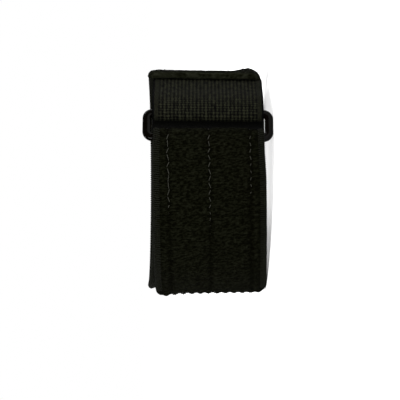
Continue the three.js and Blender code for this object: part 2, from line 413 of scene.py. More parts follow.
SORT_WEIGHTS = Vector((1, 1e3, 1e6))  # sort a flat slab's places by z, then y, then x


def thicken(bm, height):
    """Makes a flat sheet into a closed slab that stands this high over it."""
    grown = bmesh.ops.extrude_face_region(bm, geom=bm.faces[:], use_keep_orig=True)["geom"]
    raised = [item for item in grown if isinstance(item, bmesh.types.BMVert)]
    bmesh.ops.translate(bm, verts=raised, vec=(0, 0, height))


def put_in_order(bm):
    """Gives a flat slab's points and faces one fixed order, which extruding leaves to chance."""
    bm.verts.sort(key=lambda vert: vert.co.dot(SORT_WEIGHTS))
    bm.faces.sort(key=lambda face: face.calc_center_median().dot(SORT_WEIGHTS))


def to_mesh(bm, name):
    mesh = bpy.data.meshes.new(name)
    bm.to_mesh(mesh)
    bm.free()
    return mesh


def bent_strip(name, strip, cell, shape):
    """A closed strip: a flat slab in metres, cut out as cloth is, whose points shape then moves into place.

    shape takes how far along the strip, how far across it and how far through it (0 lining, 1 cover) they
    are, and gives their places and how far up the cloth's own relief they stand.
    """
    half = strip.columns["half"].max()
    bm = bmesh.new()
    bmesh.ops.create_grid(
        bm,
        x_segments=round(strip.length / cell[0]),
        y_segments=round(2 * half / cell[1]),
        size=1,
        matrix=Matrix.Diagonal((strip.length / 2, half, 1, 1)),
    )
    thicken(bm, 1)
    put_in_order(bm)
    mesh = to_mesh(bm, name)

    flat = np.empty(len(mesh.vertices) * 3)
    mesh.vertices.foreach_get("co", flat)
    flat = flat.reshape(-1, 3)
    reach, across, through = flat[:, 0] + strip.length / 2, flat[:, 1], flat[:, 2]
    corner = np.empty(len(mesh.loops), dtype=np.int32)
    mesh.loops.foreach_get("vertex_index", corner)
    thick = np.linalg.norm(strip.columns["cover"][0] - strip.columns["lining"][0])
    pattern = mesh.uv_layers.new(name="strip")
    pattern.data.foreach_set("uv", np.stack([reach + thick * through, across], axis=-1)[corner].ravel())
    places, crown = shape(reach, across / half, through)
    mesh.vertices.foreach_set("co", places.ravel())
    mesh.attributes.new("crown", "FLOAT", "POINT").data.foreach_set("value", crown)
    bm = bmesh.new()
    bm.from_mesh(mesh)
    bmesh.ops.recalc_face_normals(bm, faces=bm.faces[:])
    bm.to_mesh(mesh)
    bm.free()
    mesh.shade_smooth()
    return bpy.data.objects.new(name, mesh)


def threads(name, paths, diameter):
    """Many short lengths of thread in one mesh, each swept along its own points."""
    curve = bpy.data.curves.new(name, "CURVE")
    curve.dimensions = "3D"
    curve.bevel_depth = diameter / 2
    curve.bevel_resolution = 1
    curve.use_fill_caps = True
    for path in paths:
        spline = curve.splines.new("NURBS")
        spline.points.add(len(path) - 1)
        spline.points.foreach_set("co", np.c_[path, np.ones(len(path))].ravel())
        spline.use_endpoint_u = True
        spline.order_u = 3
        spline.resolution_u = 1
    drawn = bpy.data.objects.new(name, curve)
    bpy.context.scene.collection.objects.link(drawn)
    shaped = drawn.evaluated_get(bpy.context.evaluated_depsgraph_get())
    mesh = bpy.data.meshes.new_from_object(shaped)
    bpy.data.objects.remove(drawn)
    bpy.data.curves.remove(curve)
    mesh.name = name
    mesh.shade_smooth()
    return bpy.data.objects.new(name, mesh)


def keep(piece, material, node):
    """Links a finished piece, gives it its material, parents it to the root body and hides the solid it
    stands for.
    """
    bpy.context.scene.collection.objects.link(piece)
    piece.data.materials.append(material)
    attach(piece, "root")
    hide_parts(node)


# The strap's shape, which its sewing follows too

Ripple = namedtuple("Ripple", "along across long wide")
Bend = namedtuple("Bend", "start width share")

HUG = 0.7  # share of the sewing's pull that only the outer face shows, since the inner one lies flat
FLAT = 0.99  # the strap follows the oval where it is outside, or folded back, by more than this
GROOVES_START, GROOVES_EASE = 18 * MM, 10 * MM  # where the grooves set in past the sewn end, and how gently
GROOVE_HALF = 1.5 * MM  # half the width of a groove's floor, where the pile is flat
RIM_GROOVE = 1.8  # how many times narrower that floor is inside the edge
GROOVE_TIPS = 0.45  # share of the pile's height left there; the grooves' colour also turns darker with it, as painted shade
BOUND_PULL = 0.4  # share of its height that the bound edge loses to the grooves
END_SHARE = 0.2  # share of the thickness left where the sewn end is turned in
RIPPLE = Ripple(-4 * MM, -19 * MM, 9 * MM, 5 * MM)  # in the lower edge, at the crest
LOWER_BEND, UPPER_BEND = Bend(-20.5 * MM, 5 * MM, 1.0), Bend(23.5 * MM, 4.5 * MM, 0.5)
BEND_REACH = 22 * MM  # how far from the crest those edges still bend in
CORNER_REACH, END_REACH = 14 * MM, 12 * MM  # over what distance the free corner, and its end, stand off
SCALLOP, SCALLOP_DEPTH = 3.9 * MM, 0.35 * MM  # puckers of the free end
SWELL_LONG, SWELL_WIDE, SWELL_HEIGHT = 16 * MM, 20 * MM, 0.22 * MM
PUCKER_REACH, PUCKER_HEIGHT, PUCKER_DRIFT = 4 * MM, 0.1 * MM, 3  # beside the rows
PILE_APART, SWELL_APART, WEAVE_APART = 9, 5, 7  # how far apart in the noise a strip's two faces are
RIB_SHIFT = np.array([31.7, 11.3, 5.9])  # keeps the patches of the pile apart from its ribs in the noise
PAINTED_LIGHT_REACH = 5 * MM  # how far past the sewn end light is painted onto the crest
PAINTED_LIGHT_LEAST, PAINTED_LIGHT_RISE = 0.3, 1.8  # how far up the relief that painted light counts, between ribs and on their tips

# Threads of the rows, of the overlocked edges and of the seam over the webbing
HIDDEN = 0.6 * MM  # depth at which the pile covers a row's thread
ROW_SHOWN = (27 * MM, 31 * MM, 30 * MM)  # how far past the ring each row's thread stays in sight
ROW_SUNK = (0.27 * MM, 0, 0)  # how deep each row's thread lies there
ROW_FADE = 14 * MM  # over what length it then goes under
ROW_COVERED = 3 * MM  # how far past the ring's middle the ring covers it
BODY_DEPTH, BODY_SPREAD, BODY_WAVE = 0.18 * MM, 0.3 * MM, 30 * MM  # how deep it lies before the ring
ROWS_APART = 5  # in the noise
ROW_START = 6 * MM
ROW_DIP, DIP_SPREAD, ROW_ARCH = 0.34 * MM, 0.2 * MM, 0.66 * MM
ROW_SWING = 0.8  # share of the zigzag's reach that a stitch has when chance gives it none
ROW_POINTS, SEAM_POINTS = 7, 5
ROW_HOLE, SEAM_HOLE = 0.06, 0.08  # share of a stitch's length that each of its ends leaves free
CHANCE_STEP = np.array([0.83, 7.3, 3.1])  # from one stitch, row and face to the next in the noise
OVERLOCK_START = 0.8  # share of the sewn corner's radius at which the overlocking begins
OVERLOCK_COVERS = 0.92  # share of the bound edge that a stitch covers
OVERLOCK_SLANT = 0.9  # share of a pitch that a stitch slants by
# A stitch's points: how far in from the edge, as a share of what it covers, how far through the strap, and
# how many millimetres over its face
OVERLOCK_STITCH = np.array([
    (1.0, 1, -0.1), (0.62, 1, 0.12), (0.25, 1, 0.16), (-0.03, 0.85, 0.1),
    (-0.03, 0.15, 0.1), (0.25, 0, 0.16), (0.62, 0, 0.12), (1.0, 0, -0.1),
])
SEAM_PLACES, SEAM_HALF, SEAM_STITCH = (5 * MM, 15 * MM), 22 * MM, 2.6 * MM
SEAM_DIP, SEAM_ARCH, SEAM_ROUNDING = 0.14 * MM, 0.3 * MM, 0.6


class QuiltedStrap:
    """The padded strap: any place on it or just over it, from how far along, across and through it is."""

    def __init__(self, loop):
        self.loop = loop
        self.sizes = loop.support.strap
        self.sewing = loop.support.sewing
        self.strip = loop.strap()
        spacing = self.sewing.row_spacing
        self.rows = [-spacing, 0, spacing]
        self.ring_reach = self.strip.reach[np.argmin(abs(self.strip.columns["outside"]))]

    def half_width(self, reach):
        """Half the width, cut back at the rounded corners of both ends."""
        half = self.strip.at(reach, "half")
        ends = ((self.strip.length - reach, self.sizes.corner), (reach, self.sizes.sewn_corner))
        for from_end, corner in ends:
            inside = np.clip(corner - from_end, 0, corner)
            half = half - corner + np.sqrt(corner ** 2 - inside ** 2)
        return half

    def from_rim(self, reach, across):
        """How far a place is from the nearest overlocked edge; the sewn end has none."""
        return np.minimum(self.half_width(reach) - np.abs(across), self.strip.length - reach)

    def thickness_share(self, reach, across):
        """What the sewing leaves of the thickness: grooves at the rows and inside a rounded, bound edge.

        Over the crest, next to the sewn end, the grooves run out.
        """
        sewing = self.sewing
        rim = self.from_rim(reach, across)
        drawn = smooth(reach - GROOVES_START, GROOVES_EASE)
        round_in = 1 - np.clip(rim / (sewing.edge_reach / 2), 0, 1)
        crowned = (1 - BOUND_PULL * drawn) * np.sqrt(1 - round_in ** 2)
        bound = sewing.edge_share + (1 - sewing.edge_share) * crowned
        shares = [np.where(rim < sewing.edge_reach, bound, 1.0)]
        for line in (rim - sewing.edge_reach, *(across - row for row in self.rows)):
            shares.append(1 - drawn * (1 - sewing.row_share) * (1 - smooth(abs(line), sewing.row_reach)))
        turned_in = 1 - np.clip(reach / (self.sizes.thickness / 2), 0, 1)
        return np.minimum.reduce(shares) * np.sqrt(1 - (1 - END_SHARE ** 2) * turned_in ** 2)

    def off_grooves(self, reach, across):
        """0 in the grooves that the sewing draws, and 1 away from them."""
        inside_edge = self.from_rim(reach, across) - self.sewing.edge_reach
        lines = [inside_edge * RIM_GROOVE, *(across - row for row in self.rows)]
        return np.minimum.reduce([smooth(abs(line), GROOVE_HALF) for line in lines])

    def stand_off(self, reach, z):
        """How far the strap is lifted, or bent in, at the crest's two edges and at the free end."""
        outside = self.strip.at(reach, "outside")
        along = self.strip.at(reach, "along")
        hump = ((along - RIPPLE.along) / RIPPLE.long) ** 2 + ((z - RIPPLE.across) / RIPPLE.wide) ** 2
        at_crest = 1 - smooth(abs(along), BEND_REACH)
        lower = LOWER_BEND.share * smooth(LOWER_BEND.start - z, LOWER_BEND.width)
        upper = UPPER_BEND.share * smooth(z - UPPER_BEND.start, UPPER_BEND.width)
        lift = self.sizes.ripple * np.exp(-hump) - at_crest * self.sizes.droop * (lower + upper)
        from_end = self.strip.length - reach
        from_corner = np.hypot(from_end, self.sizes.end_half - z)
        off = self.sizes.corner_lift * (1 - smooth(from_corner, CORNER_REACH))
        off = off + self.sizes.end_lift * (1 - smooth(from_end, END_REACH))
        return np.where(outside > FLAT, lift, 0) - np.where(outside < -FLAT, off, 0)

    def scallop(self, reach, across):
        """How far the free end's sewing puckers it in and out."""
        at_end = 1 - smooth(self.strip.length - reach, 2 * self.sewing.edge_reach)
        return at_end * SCALLOP_DEPTH * np.sin(2 * np.pi * across / SCALLOP)

    def at(self, reach, across, through, over=0.0):
        """Places in the frame. across is in metres; over lifts a place off the face that it is on."""
        strip = self.strip
        lining, cover = strip.faces(reach)
        middle, outwards = (lining + cover) / 2, cover - lining
        thick = np.linalg.norm(outwards, axis=-1)
        outwards = outwards / thick[..., None]
        z = strip.at(reach, "centre") + across
        share = self.thickness_share(reach, across)
        rise = (2 * through - 1) * (thick / 2 * share + self.scallop(reach, across) + over)
        rise = rise + self.stand_off(reach, z) - HUG * strip.at(reach, "outside") * thick / 2 * (1 - share)
        return self.loop.to_frame(middle + outwards * rise[..., None], z)

    def pile(self, reach, across, through):
        """Short staggered ribs of the brushed pile: 0 between them and 1 on their tips."""
        pitch = self.sizes.rib_pitch
        rib_length, patch_share, patch_scale, contrast = 1.4 * pitch, 0.4, 0.4, 0.9
        spots = np.stack([2 * reach / pitch, across / rib_length, PILE_APART * through], axis=-1)
        ribs = noise_at(spots) + patch_share * noise_at(spots * patch_scale + RIB_SHIFT)
        return np.clip(0.5 + contrast * ribs, 0, 1)

    def swell(self, reach, across, through):
        """Slow swells of the foam, and puckers beside the rows."""
        spots = np.stack([reach / SWELL_LONG, across / SWELL_WIDE, SWELL_APART * through], axis=-1)
        slow = noise_at(spots)
        wave = np.sin(2 * np.pi * reach / self.sewing.stitch + PUCKER_DRIFT * slow)
        pucker = sum((1 - smooth(abs(across - row), PUCKER_REACH)) * wave for row in self.rows)
        return SWELL_HEIGHT * slow + PUCKER_HEIGHT * pucker

    def shape(self, reach, across, through):
        """Places of the strap's own points, and how far up the pile they are, raised near the sewn end to
        paint light onto the crest.
        """
        offset = across * self.half_width(reach)
        fade = smooth(self.from_rim(reach, offset), self.sewing.edge_reach)
        pile = self.pile(reach, offset, through)
        tips = pile * (GROOVE_TIPS + (1 - GROOVE_TIPS) * self.off_grooves(reach, offset))
        over = fade * (self.sizes.rib_depth * (tips - 0.5) + self.swell(reach, offset, through))
        # painted light on the crest: the relief's value is raised by the sewn end so that its colour turns
        # lighter
        painted_light_share = (1 - smooth(reach, PAINTED_LIGHT_REACH)) * (PAINTED_LIGHT_LEAST + PAINTED_LIGHT_RISE * pile)
        return self.at(reach, offset, through, over), np.maximum(tips, painted_light_share)

    def buried(self, reach, row):
        """How deep the pile hides a row's thread: least in the stretch that the ring has pulled flat."""
        past_ring = reach - self.ring_reach
        if past_ring >= ROW_COVERED:
            return ROW_SUNK[row] + HIDDEN * smooth(past_ring - ROW_SHOWN[row], ROW_FADE)
        if past_ring > 0:
            return HIDDEN
        return BODY_DEPTH + BODY_SPREAD * noise.noise((reach / BODY_WAVE, ROWS_APART * row, 0))

    def row_paths(self):
        """Zigzag stitches of the rows on both faces, which dip into the pile at both ends."""
        sewing = self.sewing
        count = int((self.strip.length - 2 * ROW_START) / sewing.stitch)
        share = np.linspace(0, 1, ROW_POINTS)
        arch = ROW_ARCH * np.sin(np.pi * share)
        ahead = sewing.stitch * (ROW_HOLE + (1 - 2 * ROW_HOLE) * share)
        for index, row in enumerate(self.rows):
            for face in (0.0, 1.0):
                for i in range(count):
                    chance = noise.noise(CHANCE_STEP * (i, index, face))
                    start = ROW_START + i * sewing.stitch
                    turn = sewing.zigzag * (1 if i % 2 else -1) * (ROW_SWING + chance)
                    depth = ROW_DIP + DIP_SPREAD * chance + self.buried(start, index)
                    across = row + turn * (2 * share - 1)
                    yield self.at(start + ahead, across, np.full(ROW_POINTS, face), arch - depth)

    def overlock_paths(self):
        """One stitch after another over both long edges and the free end."""
        sewing = self.sewing
        pitch, whole, corner = sewing.overlock_pitch, self.strip.length, self.sizes.corner
        covered, through, over = OVERLOCK_STITCH.T
        inset, over = covered * sewing.edge_reach * OVERLOCK_COVERS, over * MM
        slant = np.linspace(0, OVERLOCK_SLANT, len(inset)) * pitch
        start = OVERLOCK_START * self.sizes.sewn_corner
        for i in range(int((whole - corner - start) / pitch)):
            reach = start + i * pitch + slant
            for side in (-1, 1):
                across = side * (self.half_width(reach) - inset)
                yield self.at(reach, across, through, over)
        width = self.sizes.end_half - corner
        for i in range(int(2 * width / pitch)):
            yield self.at(whole - inset, -width + i * pitch + slant, through, over)

    def seam_paths(self):
        """Two straight rows that sew the strap's end down over the webbing."""
        share = np.linspace(0, 1, SEAM_POINTS)
        over = np.sin(np.pi * share) ** SEAM_ROUNDING * SEAM_ARCH - SEAM_DIP
        for place in SEAM_PLACES:
            for i in range(int(2 * SEAM_HALF / SEAM_STITCH)):
                across = -SEAM_HALF + SEAM_STITCH * (i + SEAM_HOLE + (1 - 2 * SEAM_HOLE) * share)
                yield self.at(np.full(SEAM_POINTS, place), across, np.ones(SEAM_POINTS), over)


# The webbing's shape

LOOSE_LONG, LOOSE_WIDE = 3 * MM, 2 * MM  # over what distance the weave goes from loose to tight
WARP_DRIFT, WEFT_DRIFT = 0.08, 0.12  # pitches by which loose cords and picks wander
WARP_RISE, WEFT_RISE = 0.34, 0.36  # share of its height by which one rises and dips at a crossing
FIRMNESS, UNEVENNESS = 0.92, 0.35  # height of the crowns, and how far loose ones differ
SELVEDGE_CROWN, SELVEDGE_EASE = 0.6, 0.6 * MM  # how far up the selvedge is, and the width of its inner edge
RIM_FADE = 1.2 * MM  # over what width the weave ends at the edge
RIM_SHARE, RIM_REACH = 0.55, 0.9 * MM  # share of the thickness left at the edge, and its rounding's width


class WovenWebbing:
    """The webbing: a plain weave with its relief in the mesh, and a flatter selvedge at both edges."""

    def __init__(self, loop):
        self.loop = loop
        self.sizes = loop.support.webbing
        self.strip = loop.webbing()

    def weave(self, reach, offset, through):
        """How far up the weave's relief a place is: 0 in its gaps and 1 on the crowns of its cords."""
        spots = np.stack([reach / LOOSE_LONG, offset / LOOSE_WIDE, WEAVE_APART * through], axis=-1)
        loose = noise_at(spots)
        cord = offset / self.sizes.warp_pitch + WARP_DRIFT * loose
        pick = reach / self.sizes.weft_pitch + WEFT_DRIFT * loose
        over = np.where(np.mod(np.floor(cord) + np.floor(pick), 2) < 1, 1.0, -1.0)
        warp, weft = np.abs(np.sin(np.pi * cord)), np.abs(np.sin(np.pi * pick))
        warp_crown = warp * (1 - WARP_RISE + WARP_RISE * over * weft)
        weft_crown = weft * (1 - WEFT_RISE - WEFT_RISE * over * warp)
        return np.maximum(warp_crown, weft_crown) * (FIRMNESS + UNEVENNESS * loose)

    def shape(self, reach, across, through):
        sizes, strip = self.sizes, self.strip
        offset = across * strip.at(reach, "half")
        rim = sizes.half - np.abs(offset)
        inside = smooth(rim - sizes.selvedge, SELVEDGE_EASE)
        crown = SELVEDGE_CROWN + inside * (self.weave(reach, offset, through) - SELVEDGE_CROWN)
        crown = np.clip(crown, 0, 1) * smooth(rim, RIM_FADE)
        edge = RIM_SHARE + (1 - RIM_SHARE) * smooth(rim, RIM_REACH)
        rise = (2 * through - 1) * edge * (sizes.thickness / 2 - sizes.weave_depth * (1 - crown))
        lining, cover = strip.faces(reach)
        flat = (lining + cover) / 2 + (cover - lining) / sizes.thickness * rise[:, None]
        return self.loop.to_frame(flat, strip.at(reach, "centre") + offset), crown


# Materials

def add_node(tree, kind, inputs=None, **settings):
    """A node with its settings; an input is a value, or another node's socket to link."""
    node = tree.nodes.new(kind)
    for name, value in settings.items():
        setattr(node, name, value)
    for name, value in (inputs or {}).items():
        if isinstance(value, bpy.types.NodeSocket):
            tree.links.new(value, node.inputs[name])
        else:
            node.inputs[name].default_value = value
    return node


def new_material(name):
    material = bpy.data.materials.new(name)
    material.use_nodes = True
    material.node_tree.nodes.clear()
    return material, material.node_tree


def finish_material(tree, **inputs):
    sockets = {name.replace("_", " "): value for name, value in inputs.items()}
    surface = add_node(tree, "ShaderNodeBsdfPrincipled", sockets)
    add_node(tree, "ShaderNodeOutputMaterial", {"Surface": surface.outputs["BSDF"]})


def brushed_loop_pile(colours):
    """Brushed nylon loop pile on foam: dull and soft, its fibres combed across the strap in short tufts."""
    material, tree = new_material("brushed_loop_pile")
    strip = add_node(tree, "ShaderNodeUVMap", uv_map="strip").outputs["UV"]
    crown = add_node(tree, "ShaderNodeAttribute", attribute_name="crown").outputs["Fac"]
    # single fibres are too fine to show, so they are drawn as wisps
    fibre_size, tuft_size, nap_depth = (0.3 * MM, 1.1 * MM), (0.75 * MM, 1.6 * MM), 0.6 * MM
    combed = add_node(tree, "ShaderNodeMapping", {
        "Vector": strip, "Scale": (1 / fibre_size[0], 1 / fibre_size[1], 1)})
    fibres = add_node(tree, "ShaderNodeTexNoise", {
        "Vector": combed.outputs["Vector"], "Scale": 1.0, "Detail": 3.0, "Roughness": 0.65})
    parted = add_node(tree, "ShaderNodeMapping", {
        "Vector": strip, "Scale": (1 / tuft_size[0], 1 / tuft_size[1], 1)})
    tufts = add_node(tree, "ShaderNodeTexNoise", {
        "Vector": parted.outputs["Vector"], "Scale": 1.0, "Detail": 3.0})
    nap = add_node(tree, "ShaderNodeMath", {
        0: fibres.outputs["Fac"], 1: tufts.outputs["Fac"]}, operation="MULTIPLY")
    ribbed = add_node(tree, "ShaderNodeMath", {
        0: crown, 1: 0.28, 2: nap.outputs["Value"]}, operation="MULTIPLY_ADD")
    # painted light and shade: lighter where the relief stands high, darker in its hollows and the sewn
    # grooves, with random tone from the nap
    tips = add_node(tree, "ShaderNodeMapRange", {
        "Value": ribbed.outputs["Value"], "From Min": 0.31, "From Max": 0.53})
    tone = add_node(tree, "ShaderNodeMix", {
        "Factor": tips.outputs["Result"], "A": colours.pile_shaded_deep, "B": colours.pile_lit_tips}, data_type="RGBA")
    # painted light: the highest relief, and the crest by the sewn end, turn to a lighter tone in place of
    # the light on them
    painted_light_share = add_node(tree, "ShaderNodeMapRange", {
        "Value": ribbed.outputs["Value"], "From Min": 0.53, "From Max": 0.85})
    painted_light_tone = add_node(tree, "ShaderNodeMix", {
        "Factor": painted_light_share.outputs["Result"], "A": tone.outputs[2], "B": colours.pile_lit_colour},
        data_type="RGBA")
    raised = add_node(tree, "ShaderNodeBump", {
        "Height": nap.outputs["Value"], "Distance": nap_depth, "Strength": 0.9})
    finish_material(
        tree, Base_Color=painted_light_tone.outputs[2], Roughness=0.95, IOR=1.5, Specular_IOR_Level=0.012,
        Sheen_Weight=0.002, Sheen_Roughness=0.5, Normal=raised.outputs["Normal"])
    return material


def woven_nylon(colours):
    """Woven nylon webbing: firm cords, their faint lustre painted lighter on the crowns and shade painted
    darker in the gaps between them.
    """
    material, tree = new_material("woven_nylon")
    strip = add_node(tree, "ShaderNodeUVMap", uv_map="strip").outputs["UV"]
    crown = add_node(tree, "ShaderNodeAttribute", attribute_name="crown")
    # single filaments are too fine to show, so they are drawn as bundles
    filament_size, grain_depth = (1.2 * MM, 0.2 * MM), 0.1 * MM
    drawn = add_node(tree, "ShaderNodeMapping", {
        "Vector": strip, "Scale": (1 / filament_size[0], 1 / filament_size[1], 1)})
    filaments = add_node(tree, "ShaderNodeTexNoise", {
        "Vector": drawn.outputs["Vector"], "Scale": 1.0, "Detail": 2.0})
    lift = add_node(tree, "ShaderNodeMath", {
        0: crown.outputs["Fac"], 1: filaments.outputs["Fac"]}, operation="MULTIPLY")
    # painted light and shade: lighter on the weave's crowns, darker in its gaps and lower relief
    tips = add_node(tree, "ShaderNodeMapRange", {
        "Value": lift.outputs["Value"], "From Min": 0.2, "From Max": 0.48})
    tone = add_node(tree, "ShaderNodeMix", {
        "Factor": tips.outputs["Result"], "A": colours.cord_shaded_gap, "B": colours.cord_lit_crown}, data_type="RGBA")
    grain = add_node(tree, "ShaderNodeBump", {
        "Height": filaments.outputs["Fac"], "Distance": grain_depth, "Strength": 0.5})
    finish_material(
        tree, Base_Color=tone.outputs[2], Roughness=0.85, IOR=1.53, Specular_IOR_Level=0.015,
        Normal=grain.outputs["Normal"])
    return material


def gloss_moulding(colours):
    """Moulded black acetal: a smooth gloss with very slight ripples and a few dull scuffs."""
    material, tree = new_material("gloss_moulded_acetal")
    place = add_node(tree, "ShaderNodeTexCoord").outputs["Object"]
    ripple_size, scuff_size, ripple_depth = 5 * MM, 1.4 * MM, 0.15 * MM
    ripples = add_node(tree, "ShaderNodeTexNoise", {
        "Vector": place, "Scale": 1 / ripple_size, "Detail": 1.0})
    scuffs = add_node(tree, "ShaderNodeTexNoise", {
        "Vector": place, "Scale": 1 / scuff_size, "Detail": 5.0})
    dulled = add_node(tree, "ShaderNodeMapRange", {
        "Value": scuffs.outputs["Fac"], "From Min": 0.45, "From Max": 0.75, "To Min": 0.1, "To Max": 0.24})
    gloss = add_node(tree, "ShaderNodeBump", {
        "Height": ripples.outputs["Fac"], "Distance": ripple_depth, "Strength": 0.15})
    finish_material(
        tree, Base_Color=colours.ring, Roughness=dulled.outputs["Result"], IOR=1.48,
        Specular_IOR_Level=0.07, Normal=gloss.outputs["Normal"])
    return material


def spun_thread(name, tone, roughness):
    """Spun polyester thread: twisted plies give a fine, broken highlight."""
    material, tree = new_material(name)
    place = add_node(tree, "ShaderNodeTexCoord").outputs["Object"]
    # the plies are too fine to show, so they are drawn as thick as the thread
    ply_size, twist_depth = 0.35 * MM, 0.12 * MM
    plies = add_node(tree, "ShaderNodeTexNoise", {"Vector": place, "Scale": 1 / ply_size, "Detail": 3.0})
    shade = add_node(tree, "ShaderNodeMapRange", {
        "Value": plies.outputs["Fac"], "From Min": 0.3, "From Max": 0.7, "To Min": 0.35, "To Max": 1.1})
    tint = add_node(tree, "ShaderNodeVectorMath", {
        0: tone[:3], "Scale": shade.outputs["Result"]}, operation="SCALE")
    twist = add_node(tree, "ShaderNodeBump", {
        "Height": plies.outputs["Fac"], "Distance": twist_depth, "Strength": 0.6})
    finish_material(
        tree, Base_Color=tint.outputs["Vector"], Roughness=roughness, IOR=1.55, Specular_IOR_Level=0.05,
        Normal=twist.outputs["Normal"])
    return material


def satin_weave(colours):
    """Satin-woven polyester: long floats along the label give a soft streaked sheen."""
    material, tree = new_material("satin_weave")
    strip = add_node(tree, "ShaderNodeUVMap", uv_map="strip").outputs["UV"]
    float_size, float_depth = (2.2 * MM, 0.25 * MM), 0.08 * MM
    floats = add_node(tree, "ShaderNodeMapping", {
        "Vector": strip, "Scale": (1 / float_size[0], 1 / float_size[1], 1)})
    streaks = add_node(tree, "ShaderNodeTexNoise", {
        "Vector": floats.outputs["Vector"], "Scale": 1.0, "Detail": 2.0})
    gloss = add_node(tree, "ShaderNodeMapRange", {
        "Value": streaks.outputs["Fac"], "To Min": 0.35, "To Max": 0.6})
    relief = add_node(tree, "ShaderNodeBump", {
        "Height": streaks.outputs["Fac"], "Distance": float_depth, "Strength": 0.6})
    finish_material(
        tree, Base_Color=colours.label, Roughness=gloss.outputs["Result"], IOR=1.55,
        Specular_IOR_Level=0.06, Normal=relief.outputs["Normal"])
    return material


def moulded_hooks(colours):
    """Extruded nylon hook sheet: matt, with faint drawing lines."""
    material, tree = new_material("moulded_nylon_hooks")
    place = add_node(tree, "ShaderNodeTexCoord").outputs["Object"]
    line_size = 0.6 * MM
    lines = add_node(tree, "ShaderNodeTexNoise", {"Vector": place, "Scale": 1 / line_size, "Detail": 2.0})
    gloss = add_node(tree, "ShaderNodeMapRange", {
        "Value": lines.outputs["Fac"], "To Min": 0.45, "To Max": 0.65})
    finish_material(tree, Base_Color=colours.hooks, Roughness=gloss.outputs["Result"], IOR=1.53)
    return material


def studio_white(colours):
    """Matt painted board: an even, very pale white with a faint mottle."""
    material, tree = new_material("matt_painted_board")
    place = add_node(tree, "ShaderNodeTexCoord").outputs["Object"]
    mottle_size = 1000 / 3 * MM
    mottle = add_node(tree, "ShaderNodeTexNoise", {"Vector": place, "Scale": 1 / mottle_size})
    gloss = add_node(tree, "ShaderNodeMapRange", {
        "Value": mottle.outputs["Fac"], "To Min": 0.88, "To Max": 0.96})
    finish_material(
        tree, Base_Color=colours.floor, Roughness=gloss.outputs["Result"], Specular_IOR_Level=0.0)
    return material


# Operators

HOOK_BEND = np.array([[0, 0], [0, 0.75], [0.25, 1], [0.6, 0.8]])  # a hook's points, sideways and up
HOOK_LEAN, HOOK_THREAD = 0.5 * MM, 0.2 * MM
HOOK_MARGIN = 1.5 * MM  # bare sheet round the hooks

Softbox = namedtuple("Softbox", "name place size power")  # in metres and watts
SOFTBOXES = (
    Softbox("key_softbox", (1.2, 0.15, 0.5), 1.0, 14),
    Softbox("front_softbox", (-0.25, -1.2, 0.5), 0.6, 14),
    Softbox("overhead_softbox", (0.0, 0.1, 1.5), 1.6, 5),
    Softbox("edge_softbox", (-0.55, 0.5, 0.95), 0.25, 6),
)
LIT = Vector((0, 0, 30 * MM))  # the middle of the support, which every light is turned to
ROOM_SEEN, ROOM_MIRRORED = 1.0, 0.07  # brightness of the room round the floor
FLOOR_HALF = 6
CAMERA_AIM = Vector((-8.8 * MM, 0, 3.55 * MM))  # from the opening's middle
CAMERA_DISTANCE = 0.9
PICTURE_WIDTH = 188.6 * MM  # what the picture shows at the opening's axis


class SUPPORT_OT_padded_strap(Operator):
    """Cut, bend and quilt the padded strap, with its brushed pile"""

    bl_idname = "support.padded_strap"
    bl_label = "Padded Strap"

    def execute(self, context):
        support = context.scene.elbow_support
        strap = QuiltedStrap(Loop(support))
        piece = bent_strip("padded_strap", strap.strip, PILE_CELL, strap.shape)
        keep(piece, brushed_loop_pile(support.colours), "strap")
        return {"FINISHED"}


class SUPPORT_OT_sewing(Operator):
    """Sew the strap: quilting rows, overlocked edges and the seam over the webbing"""

    bl_idname = "support.sewing"
    bl_label = "Sewing"

    def execute(self, context):
        support = context.scene.elbow_support
        strap = QuiltedStrap(Loop(support))
        sizes, colours = support.sewing, support.colours
        grey = spun_thread("grey_spun_thread", colours.thread_light, 0.7)
        black = spun_thread("black_spun_thread", colours.thread_dark, 0.75)
        rows = threads("sewn_rows", list(strap.row_paths()), sizes.thread)
        keep(rows, grey, "strap")
        edges = threads("overlocked_edges", list(strap.overlock_paths()), sizes.overlock_thread)
        keep(edges, black, "strap")
        seam = threads("end_seam", list(strap.seam_paths()), sizes.thread)
        keep(seam, black, "strap")
        return {"FINISHED"}


class SUPPORT_OT_webbing(Operator):
    """Weave the webbing that ties the strap's sewn end to the ring"""

    bl_idname = "support.webbing"
    bl_label = "Webbing"

    def execute(self, context):
        support = context.scene.elbow_support
        webbing = WovenWebbing(Loop(support))
        piece = bent_strip("woven_webbing", webbing.strip, WEAVE_CELL, webbing.shape)
        keep(piece, woven_nylon(support.colours), "webbing_link")
        return {"FINISHED"}


